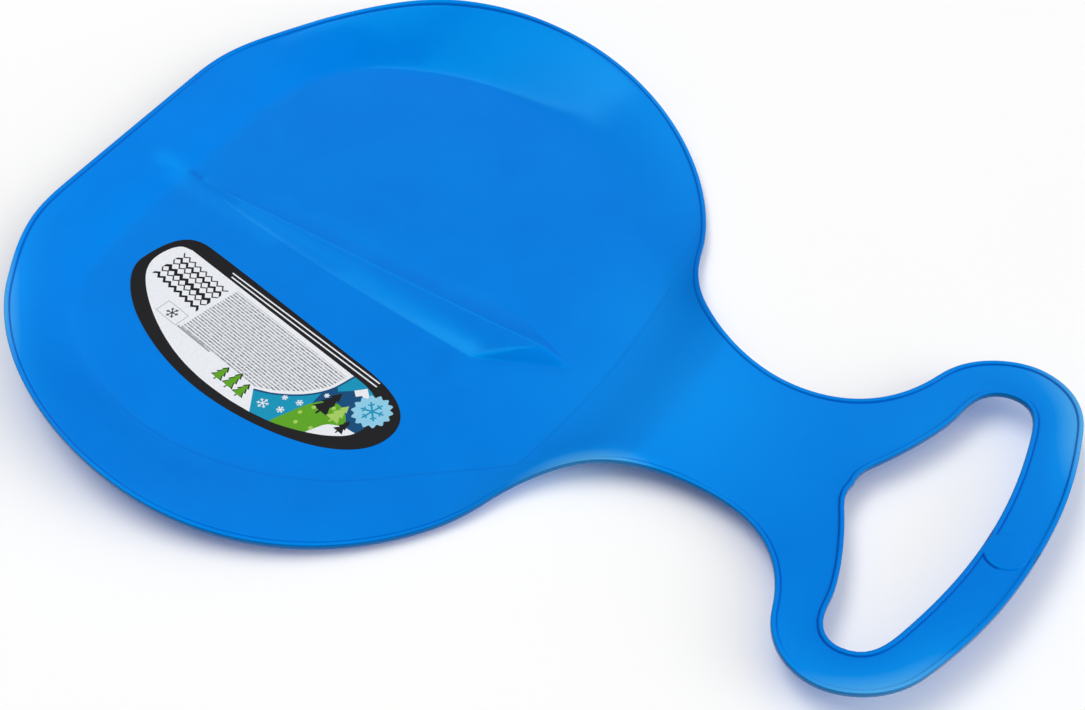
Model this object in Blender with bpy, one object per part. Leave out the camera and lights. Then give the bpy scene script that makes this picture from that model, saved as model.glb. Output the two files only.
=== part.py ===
"""Bum slider: a one-piece dished plastic seat with a looped handle, and its stuck-on label.

The slider lies along X with its handle at +X. It is symmetric about the XZ plane, apart from the
low ridge of its seat and the small pad on its bar, and rests on Z = 0 with the flat underside of
its seat. All the plan sizes below are measured from the centre of the round seat floor, in
millimetres, and heights are measured from the floor's upper face.
"""

import math

import bmesh
import bpy
from mathutils import Vector
from mathutils.geometry import delaunay_2d_cdt, interpolate_bezier

MM = 0.001

# Moulded sheet, and the spacing of the points that its curves are made of
WALL = 2.0
OUTLINE_STEP = 6.5
LATTICE_STEP = 11.0

# Seat, in plan
REAR_EDGE_X = -127.0
REAR_CORNER_X = -103.0
REAR_CORNER_HALF = 103.5
REAR_STRAIGHT_HALF = 41.5
SEAT_WIDEST_X = 11.5
SEAT_HALF_WIDTH = 159.5
SEAT_FRONT_X = 124.0
SEAT_FRONT_HALF = 80.5

# Neck and handle, in plan: setbacks run back from the handle's end, insets in from its side
NECK_X = 191.5
NECK_HALF_WIDTH = 32.7
HANDLE_END_X = 313.0
HANDLE_HALF_WIDTH = 89.2
LOBE_SETBACK = 41.5
LOBE_REAR_SETBACK = 72.0
LOBE_REAR_INSET = 22.2
LOBE_FRONT_SETBACK = 11.0
LOBE_FRONT_INSET = 22.7

# Hole of the handle, in plan
BAR_WIDTH = 19.5
GRIP_WIDTH = 18.6
HOLE_LENGTH = 54.8
BAR_X = HANDLE_END_X - BAR_WIDTH
HOLE_REAR_X = BAR_X - HOLE_LENGTH
HOLE_HALF_WIDTH = HANDLE_HALF_WIDTH - GRIP_WIDTH

# Flat floor of the seat, in plan
FLOOR_RADIUS = 123.5
FLOOR_SIDE_ANGLE = 124.0
FLOOR_FRONT_ANGLE = 46.0
FLANGE_MIDDLE = 17.5
REAR_CREASE_X = -93.0
NECK_CREASE_X = 126.5
NECK_CREASE_END_X = 122.5
NECK_CREASE_HALF = 56.5

# Heights of the outline above the floor, at stations along X
REAR_RIM_HEIGHT = 8.7
SIDE_RIM_X = -50.0
SIDE_RIM_HEIGHT = 20.0
FRONT_RIM_X = 113.0
FRONT_RIM_HEIGHT = 2.7
NECK_REAR_X = 152.0
NECK_REAR_HEIGHT = 10.5
NECK_HEIGHT = 8.5
HANDLE_RISE_SETBACK = 63.0
HANDLE_RISE_HEIGHT = 11.8
HANDLE_END_HEIGHT = 19.0
RAMP_LENGTH = 36.0

# Low ridge of the seat: its near flank (-Y) swells, its far one is hollow and narrower, and a
# short wall closes its front
RIDGE_REAR_X = -91.0
RIDGE_MIDDLE_X = -41.0
RIDGE_WIDEST_X = 73.0
RIDGE_PEAK_X = 96.0
RIDGE_TIP_X = 112.0
RIDGE_Y = -2.2
RIDGE_HALF_WIDTH = 19.0
RIDGE_FAR_SHARE = 0.66
RIDGE_MIDDLE_HEIGHT = 1.3
RIDGE_WIDEST_HEIGHT = 2.8
RIDGE_HEIGHT = 3.8
RIDGE_SWELL = 0.7
RIDGE_HOLLOW = 1.7
FRONT_WALL_SLOPE = 0.62
FRONT_WALL_WIDTH = 5.0
FLANK_MIDDLE = 0.6

# Raised lip round the outline and the hole
LIP_WIDTH = 1.8
LIP_SLOPE = 0.6
LIP_HEIGHT = 0.6

# Round pad on the bar, as high as the lip and joined to it at the hole
PAD_RADIUS = 8.7
PAD_X = BAR_X + PAD_RADIUS
PAD_Y = -2.9
PAD_SEGMENTS = 36

# Label on the near half of the floor
LABEL_THICKNESS = 0.2
LABEL_GAP = 0.3
LABEL_REAR_X = -75.0
LABEL_LENGTH = 147.5
LABEL_INNER_Y = -32.0
LABEL_WIDTH = 66.0

BLUE = (0.0, 0.2, 0.75, 1.0)
LABEL_INK = (0.02, 0.02, 0.025, 1.0)


def heading_vector(degrees):
    """Unit vector in plan for a heading."""
    return Vector((math.cos(math.radians(degrees)), math.sin(math.radians(degrees))))


def span_handles(start, end):
    """Both handles of the curve between two keys."""
    first = Vector(start[:2])
    last = Vector(end[:2])
    chord = (last - first).length
    return (first + heading_vector(start[2]) * chord * start[4],
            last - heading_vector(end[2]) * chord * end[3])


def curve_through(keys, step):
    """Points along a smooth curve.

    A key is x, y, its heading in degrees, and its handles in and out as shares of the chord.
    """
    points = []
    for start, end in zip(keys[:-1], keys[1:]):
        first = Vector(start[:2])
        last = Vector(end[:2])
        leave, arrive = span_handles(start, end)
        count = max(3, round((last - first).length / step) + 1)
        span = interpolate_bezier(first, leave, arrive, last, count)
        points.extend(span if not points else span[1:])
    return [Vector(point[:2]) for point in points]


def outline_keys():
    """Half of the outer outline, from the middle of the rear edge to the end of the handle."""
    return [
        (REAR_EDGE_X, 0, 90, 0, 0.34),
        (REAR_EDGE_X, REAR_STRAIGHT_HALF, 90, 0.34, 0.32),
        (REAR_CORNER_X, REAR_CORNER_HALF, 53, 0.54, 0.12),
        (SEAT_WIDEST_X, SEAT_HALF_WIDTH, 0, 0.49, 0.43),
        (SEAT_FRONT_X, SEAT_FRONT_HALF, -71, 0.255, 0.41),
        (NECK_X, NECK_HALF_WIDTH, 0, 0.34, 0.5),
        (HANDLE_END_X - LOBE_REAR_SETBACK, HANDLE_HALF_WIDTH - LOBE_REAR_INSET, 71, 0.3, 0.45),
        (HANDLE_END_X - LOBE_SETBACK, HANDLE_HALF_WIDTH, 0, 0.29, 0.18),
        (HANDLE_END_X - LOBE_FRONT_SETBACK, HANDLE_HALF_WIDTH - LOBE_FRONT_INSET, -71, 0.52, 0.33),
        (HANDLE_END_X, 0, -90, 0.385, 0),
    ]


def hole_keys():
    """Half of the hole, a bent heart, from its point at the neck to the middle of the bar."""
    return [
        (HOLE_REAR_X, 0, 90, 0, 0.16),
        (HOLE_REAR_X + HOLE_LENGTH * 0.046, HOLE_HALF_WIDTH * 0.173, 60, 0.65, 0.225),
        (HOLE_REAR_X + HOLE_LENGTH * 0.343, HOLE_HALF_WIDTH * 0.77, 85, 0.29, 0.68),
        (HOLE_REAR_X + HOLE_LENGTH * 0.583, HOLE_HALF_WIDTH, 0, 0.19, 0.435),
        (HOLE_REAR_X + HOLE_LENGTH * 0.87, HOLE_HALF_WIDTH * 0.755, -76, 0.435, 0.19),
        (BAR_X, 0, -90, 0.453, 0),
    ]


def floor_keys():
    """Half of the crease round the flat floor, from the rear to the corner at the neck."""
    side = heading_vector(FLOOR_SIDE_ANGLE) * FLOOR_RADIUS
    front = heading_vector(FLOOR_FRONT_ANGLE) * FLOOR_RADIUS
    return [
        (REAR_CREASE_X, 0, 90, 0, 0.43),
        (REAR_CREASE_X, REAR_STRAIGHT_HALF, 90, 0.34, 0.37),
        (side.x, side.y, FLOOR_SIDE_ANGLE - 90, 0.306, 0.346),
        (0, FLOOR_RADIUS, 0, 0.346, 0.346),
        (front.x, front.y, FLOOR_FRONT_ANGLE - 90, 0.346, 0.33),
        (NECK_CREASE_END_X, NECK_CREASE_HALF, -46, 0.33, 0),
    ]


def neck_crease_keys():
    """Half of the crease where the neck begins."""
    return [
        (NECK_CREASE_END_X, NECK_CREASE_HALF, -82, 0, 0.265),
        (NECK_CREASE_X, 0, -90, 0.32, 0),
    ]


def ridge_keys():
    """Half of the base of the ridge, from its rear tip to its front tip, measured from its crest."""
    return [
        (RIDGE_REAR_X, 0, 14, 0, 0.3),
        (RIDGE_WIDEST_X, RIDGE_HALF_WIDTH, 4, 0.3, 0.05),
        (RIDGE_TIP_X, 0, -32, 0.31, 0),
    ]


def profile(stations, x):
    """Height at x on a smooth curve through stations of x and height."""
    if x <= stations[0][0]:
        return stations[0][1]
    if x >= stations[-1][0]:
        return stations[-1][1]
    index = max(i for i, station in enumerate(stations) if station[0] <= x)
    slopes = [0.0] * len(stations)
    for i in range(1, len(stations) - 1):
        before = (stations[i][1] - stations[i - 1][1]) / (stations[i][0] - stations[i - 1][0])
        after = (stations[i + 1][1] - stations[i][1]) / (stations[i + 1][0] - stations[i][0])
        slopes[i] = 2 * before * after / (before + after) if before * after > 0 else 0.0
    (x0, h0), (x1, h1) = stations[index], stations[index + 1]
    run = x1 - x0
    t = (x - x0) / run
    return (h0 * (1 + 2 * t) * (1 - t) ** 2 + h1 * t * t * (3 - 2 * t)
            + run * slopes[index] * t * (1 - t) ** 2 - run * slopes[index + 1] * t * t * (1 - t))


def rim_height(x):
    """Height of the outline above the floor, which also sets the neck's and handle's height."""
    stations = [
        (REAR_EDGE_X, REAR_RIM_HEIGHT),
        (SIDE_RIM_X, SIDE_RIM_HEIGHT),
        (FRONT_RIM_X, FRONT_RIM_HEIGHT),
        (NECK_REAR_X, NECK_REAR_HEIGHT),
        (NECK_X, NECK_HEIGHT),
        (HANDLE_END_X - HANDLE_RISE_SETBACK, HANDLE_RISE_HEIGHT),
        (HANDLE_END_X, HANDLE_END_HEIGHT),
    ]
    return profile(stations, x)


def nearest(point, line):
    """Shortest distance from a point to an open line of points."""
    best = math.inf
    for start, end in zip(line[:-1], line[1:]):
        side = end - start
        share = max(0.0, min(1.0, (point - start).dot(side) / side.length_squared))
        best = min(best, (start + side * share - point).length)
    return best


def inside(point, polygon):
    """True where a point lies inside a closed polygon."""
    found = False
    for start, end in zip(polygon, polygon[1:] + polygon[:1]):
        if (start.y > point.y) != (end.y > point.y):
            crossing = start.x + (point.y - start.y) * (end.x - start.x) / (end.y - start.y)
            found = found != (point.x < crossing)
    return found


def shifted(line, distance):
    """A line moved sideways: to its left where distance is positive."""
    moved = []
    for i, point in enumerate(line):
        ahead = line[min(i + 1, len(line) - 1)]
        behind = line[max(i - 1, 0)]
        along = (ahead - behind).normalized()
        if i in (0, len(line) - 1):
            along = Vector((0, math.copysign(1, along.y)))
        moved.append(point + Vector((-along.y, along.x)) * distance)
    return moved


class SliderShape:
    """The lines of one half in plan, and the height of the sheet's upper face over them."""

    def __init__(self):
        self.outline = curve_through(outline_keys(), OUTLINE_STEP)
        self.hole = curve_through(hole_keys(), OUTLINE_STEP)
        self.floor = curve_through(floor_keys(), OUTLINE_STEP)
        self.neck_crease = curve_through(neck_crease_keys(), OUTLINE_STEP)
        self.ridge = curve_through(ridge_keys(), OUTLINE_STEP)
        self.floor_edge = self.floor + self.neck_crease[1:]
        self.floor_area = self.floor_edge + [Vector((REAR_CREASE_X, 0))]

    def ridge_half_width(self, x):
        """Distance from the ridge's crest to its near base."""
        for start, end in zip(self.ridge[:-1], self.ridge[1:]):
            if start.x <= x <= end.x and end.x > start.x:
                return start.y + (x - start.x) / (end.x - start.x) * (end.y - start.y)
        return 0.0

    def ridge_height(self, point):
        """Height of the ridge above the floor."""
        crest = profile([
            (RIDGE_REAR_X, 0),
            (RIDGE_MIDDLE_X, RIDGE_MIDDLE_HEIGHT),
            (RIDGE_WIDEST_X, RIDGE_WIDEST_HEIGHT),
            (RIDGE_PEAK_X, RIDGE_HEIGHT),
            (RIDGE_TIP_X, 0),
        ], point.x)
        far = point.y > RIDGE_Y
        aside = abs(point.y - RIDGE_Y) / (RIDGE_FAR_SHARE if far else 1)
        half = self.ridge_half_width(point.x)
        if aside >= half:
            return 0.0
        wide = half
        if point.x > RIDGE_WIDEST_X:
            spread = RIDGE_HALF_WIDTH / (RIDGE_WIDEST_X - RIDGE_REAR_X)
            wide = RIDGE_HALF_WIDTH + (point.x - RIDGE_WIDEST_X) * spread
        share = 1 - aside / wide
        flank = share ** RIDGE_HOLLOW if far else share * (1 + RIDGE_SWELL - RIDGE_SWELL * share)
        return min(crest * flank, FRONT_WALL_SLOPE * nearest(Vector((point.x, aside)), self.ridge))

    def raised_height(self, point, from_outline, from_hole):
        """Height of the lip round the outline and the hole, and of the pad on the bar."""
        past_lip = min(from_outline, from_hole) - LIP_WIDTH
        past_pad = (point - Vector((PAD_X, PAD_Y))).length - PAD_RADIUS + LIP_SLOPE
        return LIP_HEIGHT * min(1.0, max(0.0, 1 - min(past_lip, past_pad) / LIP_SLOPE))

    def height(self, point):
        """Height of the sheet's upper face above the floor, on either side of the axis."""
        place = Vector((point.x, abs(point.y)))
        on_axis = point.y == 0 and REAR_CREASE_X <= point.x <= NECK_CREASE_X
        if on_axis or inside(place, self.floor_area):
            return self.ridge_height(point)
        from_floor = nearest(place, self.floor_edge)
        from_outline = nearest(place, self.outline)
        rise = min(1.0, from_floor / min(RAMP_LENGTH, from_floor + from_outline))
        raised = self.raised_height(point, from_outline, nearest(place, self.hole))
        return rim_height(point.x) * rise + raised


def half_lines(shape):
    """Lines of the half plan that are edges of the mesh: its border, its steps and its creases."""
    lines = [shape.outline, shape.hole, shape.floor_edge]
    lines.append(shifted(shape.floor, FLANGE_MIDDLE))
    for distance in (LIP_WIDTH, LIP_WIDTH + LIP_SLOPE):
        lines.append(shifted(shape.outline, -distance))
        lines.append(shifted(shape.hole, distance))
    return lines


def pad_lines(shape):
    """Foot and top edge of the pad on the bar, as far as they lie clear of the lip."""
    lines = []
    for radius in (PAD_RADIUS, PAD_RADIUS - LIP_SLOPE):
        line = []
        for i in range(PAD_SEGMENTS + 1):
            turn = math.tau * i / PAD_SEGMENTS - math.pi
            point = Vector((PAD_X + radius * math.cos(turn), PAD_Y + radius * math.sin(turn)))
            place = Vector((point.x, abs(point.y)))
            if min(nearest(place, shape.hole), nearest(place, shape.outline)) > LIP_WIDTH:
                line.append(point)
        lines.append(line)
    return lines


def ridge_lines(shape):
    """Base, middle of the flanks, top of the front wall and crest of the ridge."""
    rear = [point for point in shape.ridge if point.x <= RIDGE_WIDEST_X]
    wall = [point for point in shifted(shape.ridge, -FRONT_WALL_WIDTH) if point.x > RIDGE_WIDEST_X]
    sides = [
        shape.ridge,
        [Vector((point.x, point.y * FLANK_MIDDLE)) for point in rear],
        [point for point in wall if point.y > FRONT_WALL_WIDTH * 0.3],
    ]
    lines = []
    for line in sides:
        for side in (RIDGE_FAR_SHARE, -1):
            lines.append([Vector((point.x, RIDGE_Y + point.y * side)) for point in line])
    crest = []
    for start, end in ((RIDGE_REAR_X, RIDGE_PEAK_X), (RIDGE_PEAK_X, RIDGE_TIP_X)):
        count = round((end - start) / LATTICE_STEP)
        crest.extend(Vector((start + (end - start) * i / count, RIDGE_Y)) for i in range(count + 1))
    return lines + [crest]


def lattice(shape):
    """Loose points over the neck and handle, where the sheet curves."""
    points = []
    row = 0
    x = NECK_CREASE_X + LATTICE_STEP / 2
    clearance = LATTICE_STEP * 0.45
    area = shape.outline + shape.hole[::-1]
    while x < HANDLE_END_X:
        y = LATTICE_STEP * (0.5 if row % 2 else 1.0)
        while y < HANDLE_HALF_WIDTH:
            point = Vector((x, y))
            clear = min(nearest(point, shape.outline), nearest(point, shape.hole))
            clear = min(clear - LIP_WIDTH, nearest(point, shape.neck_crease))
            if inside(point, area) and clear > clearance:
                points.append(point)
            y += LATTICE_STEP
        x += LATTICE_STEP
        row += 1
    return points


def axis_points():
    """Points along the axis of the neck."""
    start = NECK_CREASE_X
    end = HOLE_REAR_X - LIP_WIDTH - LIP_SLOPE
    count = round((end - start) / LATTICE_STEP)
    return [Vector((start + (end - start) * i / count, 0)) for i in range(count + 1)]


def other_half(line):
    """A line of points mirrored across the axis."""
    return [Vector((point.x, -point.y)) for point in line]


def whole_plan(shape):
    """The plan as triangles that follow its lines: points, their heights and the faces."""
    points = []
    edges = []
    places = {}

    def add(point):
        key = (round(point.x, 4), round(point.y, 4))
        if key not in places:
            places[key] = len(points)
            points.append(Vector(key))
        return places[key]

    def join(line):
        indices = [add(point) for point in line]
        edges.extend((a, b) for a, b in zip(indices[:-1], indices[1:]) if a != b)

    for line in half_lines(shape):
        join(line)
        join(other_half(line))
    for line in pad_lines(shape) + ridge_lines(shape):
        join(line)
    loose = lattice(shape)
    for point in axis_points() + loose + other_half(loose):
        add(point)
    on_axis = sorted((point for point in points if point.y == 0), key=lambda point: point.x)
    join([point for point in on_axis if point.x <= REAR_CREASE_X])
    join([point for point in on_axis if NECK_CREASE_X <= point.x <= HOLE_REAR_X])
    flat, _, faces = delaunay_2d_cdt(points, edges, [], 0, 1e-5)[:3]
    area = shape.outline + shape.hole[::-1]
    kept = []
    for face in faces:
        centre = sum((flat[i] for i in face), Vector((0, 0))) / 3
        if inside(Vector((centre.x, abs(centre.y))), area):
            kept.append(face)
    heights = [shape.height(point) for point in flat]
    return flat, heights, kept


def make_material(name, colour, roughness):
    """A plain material with one colour and roughness."""
    material = bpy.data.materials.new(name)
    material.use_nodes = True
    surface = material.node_tree.nodes["Principled BSDF"]
    surface.inputs["Base Color"].default_value = colour
    surface.inputs["Roughness"].default_value = roughness
    surface.inputs["Metallic"].default_value = 0.0
    return material


def plan_offset():
    """Distance that puts the middle of the whole length over the origin."""
    return -(REAR_EDGE_X + HANDLE_END_X) / 2 * MM


def extrude_down(form):
    """Give a sheet its wall below."""
    grown = bmesh.ops.extrude_face_region(form, geom=form.faces[:], use_keep_orig=True)
    lower = [part for part in grown["geom"] if isinstance(part, bmesh.types.BMVert)]
    bmesh.ops.translate(form, verts=lower, vec=(0, 0, -WALL * MM))
    bmesh.ops.recalc_face_normals(form, faces=form.faces)


def make_body(collection, shape):
    """The moulding, as one closed sheet of even thickness."""
    flat, heights, faces = whole_plan(shape)
    form = bmesh.new()
    corners = [form.verts.new((p.x * MM, p.y * MM, (h + WALL) * MM)) for p, h in zip(flat, heights)]
    for face in faces:
        form.faces.new([corners[i] for i in face])
    loose = [vertex for vertex in form.verts if not vertex.link_faces]
    bmesh.ops.delete(form, geom=loose, context="VERTS")
    extrude_down(form)
    mesh = bpy.data.meshes.new("slider_body")
    form.to_mesh(mesh)
    form.free()
    body = bpy.data.objects.new("slider_body", mesh)
    collection.objects.link(body)
    body.location.x = plan_offset()
    mesh.materials.append(make_material("blue_plastic", BLUE, 0.25))
    return body


def label_keys():
    """Outline of the label, a bean that follows the seat's round edge."""
    front_x = LABEL_REAR_X + LABEL_LENGTH
    outer_y = LABEL_INNER_Y - LABEL_WIDTH
    return [
        (LABEL_REAR_X + LABEL_LENGTH * 0.142, LABEL_INNER_Y, -9, 0.34, 0.207),
        (LABEL_REAR_X + LABEL_LENGTH * 0.786, LABEL_INNER_Y - LABEL_WIDTH * 0.265, -10, 0.207, 0.525),
        (front_x, LABEL_INNER_Y - LABEL_WIDTH * 0.59, -90, 0.29, 0.29),
        (LABEL_REAR_X + LABEL_LENGTH * 0.644, outer_y, -178, 0.51, 0.4),
        (LABEL_REAR_X + LABEL_LENGTH * 0.149, outer_y + LABEL_WIDTH * 0.27, 150, 0.29, 0.285),
        (LABEL_REAR_X, LABEL_INNER_Y - LABEL_WIDTH * 0.31, 81, 0.31, 0.68),
    ]


def make_label(collection):
    """The label: a thin flat bean just above the seat's floor."""
    outline = bpy.data.curves.new("label", "CURVE")
    outline.dimensions = "2D"
    outline.fill_mode = "BOTH"
    outline.extrude = LABEL_THICKNESS * MM / 2
    outline.resolution_u = 8
    keys = label_keys()
    spline = outline.splines.new("BEZIER")
    spline.bezier_points.add(len(keys) - 1)
    spline.use_cyclic_u = True
    for i, (key, point) in enumerate(zip(keys, spline.bezier_points)):
        before = span_handles(keys[i - 1], key)[1]
        after = span_handles(key, keys[(i + 1) % len(keys)])[0]
        point.co = Vector((key[0], key[1], 0)) * MM
        point.handle_left = before.to_3d() * MM
        point.handle_right = after.to_3d() * MM
    label = bpy.data.objects.new("label", outline)
    collection.objects.link(label)
    label.location = (plan_offset(), 0, (WALL + LABEL_GAP + LABEL_THICKNESS / 2) * MM)
    outline.materials.append(make_material("label_print", LABEL_INK, 0.35))
    return label


def main():
    for thing in list(bpy.data.objects):
        bpy.data.objects.remove(thing, do_unlink=True)
    collection = bpy.data.collections.new("bum_slider")
    bpy.context.scene.collection.children.link(collection)
    make_body(collection, SliderShape())
    make_label(collection)
    bpy.context.view_layer.update()


main()
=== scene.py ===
"""Scene of a bum slider: the moulded blue seat with its looped handle, and its printed label.

The plan sizes are in millimetres from the centre of the round seat floor, and heights are in
millimetres over the floor's upper face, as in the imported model. The near side has negative Y.
"""

import math

import bpy
import numpy as np
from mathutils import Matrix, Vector
from mathutils.geometry import delaunay_2d_cdt, interpolate_bezier


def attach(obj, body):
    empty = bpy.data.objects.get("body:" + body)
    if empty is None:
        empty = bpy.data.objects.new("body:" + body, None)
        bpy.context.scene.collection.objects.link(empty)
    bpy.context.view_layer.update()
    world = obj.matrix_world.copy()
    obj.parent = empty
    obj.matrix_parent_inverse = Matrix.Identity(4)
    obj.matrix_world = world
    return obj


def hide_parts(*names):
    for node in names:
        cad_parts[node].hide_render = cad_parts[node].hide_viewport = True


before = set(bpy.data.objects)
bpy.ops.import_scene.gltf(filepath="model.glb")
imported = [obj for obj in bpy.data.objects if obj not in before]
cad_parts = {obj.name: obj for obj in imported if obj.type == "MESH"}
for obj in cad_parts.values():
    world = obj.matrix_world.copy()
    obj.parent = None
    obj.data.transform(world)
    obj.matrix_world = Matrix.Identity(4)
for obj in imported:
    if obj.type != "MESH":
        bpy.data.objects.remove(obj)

MM = 0.001

# Place of the seat floor's centre along X, and of the floor's upper face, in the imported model
PLAN_SHIFT = -93.0
FLOOR_TOP = 2.0

# Small values that keep a point off the axis, and widths and lengths away from zero
TINY = 0.0001
LEAST_WIDTH = 0.01
LEAST_RAMP = 1.0

# Moulded sheet, and the spacing of its mesh
WALL = 2.0
LINE_STEP = 2.5
LATTICE_STEP = 3.6
LATTICE_ROW_SHARE = 0.87
LATTICE_GAP = 1.3
POINT_DIGITS = 4
MERGE_DISTANCE = 1e-5

# Seat, in plan
REAR_EDGE_X = -127.0
REAR_CORNER_X = -103.0
REAR_CORNER_HALF = 103.5
REAR_STRAIGHT_HALF = 41.5
SEAT_WIDEST_X = 11.5
SEAT_HALF_WIDTH = 159.5
SEAT_FRONT_X = 124.0
SEAT_FRONT_HALF = 80.5

# Neck and handle, in plan
NECK_X = 191.5
NECK_HALF_WIDTH = 32.7
HANDLE_END_X = 313.0
HANDLE_HALF_WIDTH = 89.2
LOBE_SETBACK = 41.5
LOBE_REAR_SETBACK = 72.0
LOBE_REAR_INSET = 22.2
LOBE_FRONT_SETBACK = 11.0
LOBE_FRONT_INSET = 22.7

# Hole of the handle, in plan
BAR_WIDTH = 19.5
GRIP_WIDTH = 18.6
HOLE_LENGTH = 54.8
BAR_X = HANDLE_END_X - BAR_WIDTH
HOLE_REAR_X = BAR_X - HOLE_LENGTH
HOLE_HALF_WIDTH = HANDLE_HALF_WIDTH - GRIP_WIDTH

# Flat floor of the seat, in plan
FLOOR_RADIUS = 123.5
FLOOR_SIDE_ANGLE = 124.0
FLOOR_FRONT_ANGLE = 46.0
REAR_CREASE_X = -93.0
NECK_CREASE_X = 126.5
NECK_CREASE_END_X = 122.5
NECK_CREASE_HALF = 56.5

# Rounding of the crease round the floor: tight, and softer at the sides between two places
CREASE_FILLET = 3.2
SOFT_FILLET = 9.0
SOFT_FROM_X = -15.0
SOFT_TO_X = 118.0
SOFT_REACH = 50.0
SOFT_END_REACH = 12.0

# Heights of the outline above the floor, at stations along X
RIM_HEIGHTS = [
    (REAR_EDGE_X, 8.7),
    (-50.0, 20.0),
    (113.0, 2.7),
    (152.0, 10.5),
    (NECK_X, 8.5),
    (250.0, 11.8),
    (HANDLE_END_X, 19.0),
]

# Length of the slope from the floor to the rim's height, and how it eases into it
RAMP_LENGTH = 36.0
RAMP_BLEND = 8.0
SHARP_EASING = 0.001
WIDE_EASING = 0.2

# Low central ridge of the seat, with the heights of its crest at stations along X
RIDGE_REAR_X = REAR_CREASE_X + 2.0
RIDGE_WIDEST_X = 73.0
RIDGE_HALF_WIDTH = 19.0
RIDGE_TIP_X = 112.0
RIDGE_Y = -2.2
RIDGE_CREST = [
    (RIDGE_REAR_X, 0.0),
    (-70.0, 0.8),
    (-41.0, 1.3),
    (7.0, 1.7),
    (42.0, 2.2),
    (RIDGE_WIDEST_X, 2.8),
    (96.0, 3.8),
    (RIDGE_TIP_X, 0.0),
]

# Its flanks: swell of the near one, hollow and narrower width of the far one, wall at the front
RIDGE_SWELL = 0.7
RIDGE_HOLLOW = 1.7
RIDGE_FAR_SHARE = 0.66
FRONT_WALL_SLOPE = 0.62

# Fine bead along its crest, and the shallow skirt beside its near flank
CREST_BEAD_HEIGHT = 0.1
CREST_BEAD_WIDTH = 0.5
SKIRT_HEIGHT = 0.3
SKIRT_WIDTH = 6.0
SKIRT_FADE = 4.0
SKIRT_REACH = 25.0

# Raised lip round the outline and the hole, the fine groove at its foot, and the rounded edges
LIP_WIDTH = 1.6
LIP_SLOPE = 0.5
LIP_HEIGHT = 0.6
GROOVE_DEPTH = 0.2
GROOVE_WIDTH = 0.3
TOP_ROUNDING = 0.5
LOW_ROUNDING = 0.3

# Where the groove and its painted shade line fade: how much of them goes, and over what length
# along X and along Y
FAINT_LIP_X = 235.0
BAR_FADE = (0.9, 30.0, 40.0)
FAR_RIM_FADE = (0.4, 60.0, 40.0)
FAR_GRIP_FADE = (0.8, 15.0, 12.0)
FAR_GRIP_SETBACK = 6.0

# Painted shade in fine dark lines along the creases: their half width and darkness, and where the
# floor's one starts
CREASE_SHADE_WIDTH = 0.45
FLOOR_CREASE_SHADE = 0.3
NECK_CREASE_SHADE = 0.24
CREASE_FROM_X = -70.0
CREASE_FADE = 60.0

# Round pad on the bar, as high as the lip and joined to it at the hole
PAD_RADIUS = 8.7
PAD_X = BAR_X + PAD_RADIUS
PAD_Y = -2.9
PAD_SIDES = 44
PAD_CLEARANCE = 2.0

# The groove round the pad and its painted shade line end this share of its radius beyond its
# middle, on the far side
PAD_SHADE = 0.35

# Distances of the mesh lines from the edges, the creases, the ridge's base, its crest and the pad
EDGE_OFFSETS = (0.0, 0.12, 0.3, 0.5, 0.9, 1.3, 1.6, 1.8, 1.95, 2.1, 2.25, 2.45, 2.8, 3.6, 6.0)
CREASE_OFFSETS = (-1.3, -0.65, 0.0, 0.65, 1.3)
RIDGE_OFFSETS = (-6.0, -4.8, -3.8, -2.9, -2.0, -1.2, -0.5, 0.0, 0.5, 1.2)
RIDGE_LINE_FROM = 1.4
CREST_OFFSETS = (0.0, 0.2, 0.4, 0.65, 1.0)
CREST_STEP = 3.0
PAD_RINGS = (-1.0, -0.5, -0.3, -0.15, 0.0, 0.15, 0.35, 0.8)

# Painted light on the rims, standing in for light through the plastic from the pale ground, and
# broad painted light on the neck and the handle: place, radius, depth in from rim, strength
PAINTED_LIGHT_SPOTS = [
    (-88, -112, 52, 9, 0.8),
    (-85, -122, 55, 30, 0.22),
    (0, -140, 110, 30, 0.05),
    (290, -78, 36, 11, 0.92),
    (292, 66, 38, 12, 1.0),
    (145, -48, 34, 11, 1.0),
    (70, 140, 60, 20, 0.4),
    (138, -30, 26, 30, 0.32),
    (162, 5, 52, 300, 0.46),
    (265, 45, 45, 300, 0.3),
    (130, 38, 34, 300, 0.34),
]
PAINTED_LIGHT_FALL = 1.5

# Painted highlights along the ridge's crest and beside it: start, end, half width, strength
PAINTED_HIGHLIGHT_STREAKS = [
    ((-106, -3), (-96, -1.5), 4.2, 0.38),
    ((-97, -7), (-35, -13), 4.0, 0.2),
    ((-60, -4.5), (25, -10.5), 3.2, 0.24),
    ((5, -10.5), (72, -16.5), 4.6, 0.34),
    ((-48, 9), (66, 10), 3.5, 0.08),
    ((-90, 0.3), (-68, RIDGE_Y), 0.45, 0.3),
    ((-68, RIDGE_Y), (98, RIDGE_Y), 0.45, 0.42),
    ((80, -30), (102, -22), 6.0, 0.08),
]

# Painted shade at the ridge's rear tip, beside its widest part and along its front
PAINTED_SHADE_STREAKS = [
    ((-97, 2), (-87, -0.5), 1.2, 0.6),
    ((66, -25), (69, -36), 3.5, 0.14),
    ((82, -16), (106, -6), 4.5, 0.16),
]

# Width of the painted shade line on the outermost edge, and the least value at which this painted
# shade goes round to the side wall
RIM_SHADE_WIDTH = 0.45
RIM_FULL = 0.99

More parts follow.
